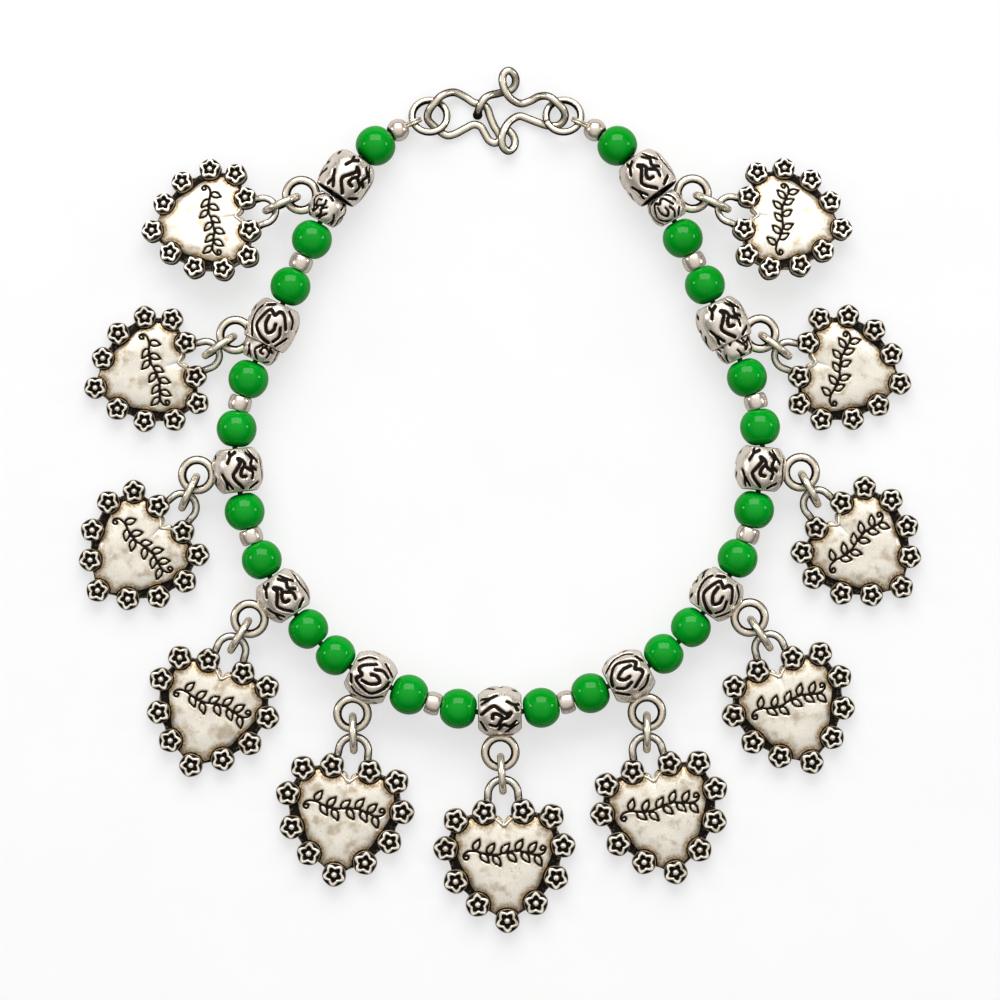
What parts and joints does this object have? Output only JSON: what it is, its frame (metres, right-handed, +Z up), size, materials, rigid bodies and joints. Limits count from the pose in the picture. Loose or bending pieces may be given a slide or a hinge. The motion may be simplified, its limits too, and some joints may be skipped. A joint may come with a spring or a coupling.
{
  "type": "payal_anklet",
  "caption": "Silver-look payal anklet: carved barrels and green glass beads on a thread, flower-rimmed heart charms on jump links, wire hook-and-eye clasp, lying flat and fastened",
  "frame": {"origin": "middle of the footprint of the anklet as it lies flat, on the surface that it lies on", "axes": "X runs across the anklet, Y runs from the centre charm towards the clasp, Z is up out of the surface"},
  "size_m": [0.1262, 0.1298, 0.0079],
  "materials": {
    "antique_silver": "cast white metal, oxidised black in its carving and polished on its high parts",
    "heart_silver": "brushed cast white metal with brown tarnish in its recesses",
    "wire_silver": "bright drawn wire with light tarnish",
    "green_glass": "opaque green pressed glass, high gloss"
  },
  "bodies": {
    "root": {"silver_string": "antique_silver", "end_ring_left": "wire_silver", "end_ring_right": "wire_silver", "clasp_eye": "wire_silver", "clasp_hook": "wire_silver", "green_bead_left_01": "green_glass", "green_bead_left_02": "green_glass", "green_bead_left_03": "green_glass", "green_bead_left_04": "green_glass", "green_bead_left_05": "green_glass", "green_bead_left_06": "green_glass", "green_bead_left_07": "green_glass", "green_bead_left_08": "green_glass", "green_bead_left_09": "green_glass", "green_bead_left_10": "green_glass", "green_bead_left_11": "green_glass", "green_bead_right_01": "green_glass", "green_bead_right_02": "green_glass", "green_bead_right_03": "green_glass", "green_bead_right_04": "green_glass", "green_bead_right_05": "green_glass", "green_bead_right_06": "green_glass", "green_bead_right_07": "green_glass", "green_bead_right_08": "green_glass", "green_bead_right_09": "green_glass", "green_bead_right_10": "green_glass", "green_bead_right_11": "green_glass", "jump_link_centre": "wire_silver", "jump_link_left_1": "wire_silver", "jump_link_left_2": "wire_silver", "jump_link_left_3": "wire_silver", "jump_link_left_4": "wire_silver", "jump_link_left_5": "wire_silver", "jump_link_right_1": "wire_silver", "jump_link_right_2": "wire_silver", "jump_link_right_3": "wire_silver", "jump_link_right_4": "wire_silver", "jump_link_right_5": "wire_silver", "heart_charm_centre": "heart_silver", "heart_charm_left_1": "heart_silver", "heart_charm_left_2": "heart_silver", "heart_charm_left_3": "heart_silver", "heart_charm_left_4": "heart_silver", "heart_charm_left_5": "heart_silver", "heart_charm_right_1": "heart_silver", "heart_charm_right_2": "heart_silver", "heart_charm_right_3": "heart_silver", "heart_charm_right_4": "heart_silver", "heart_charm_right_5": "heart_silver"}
  },
  "joints": []
}
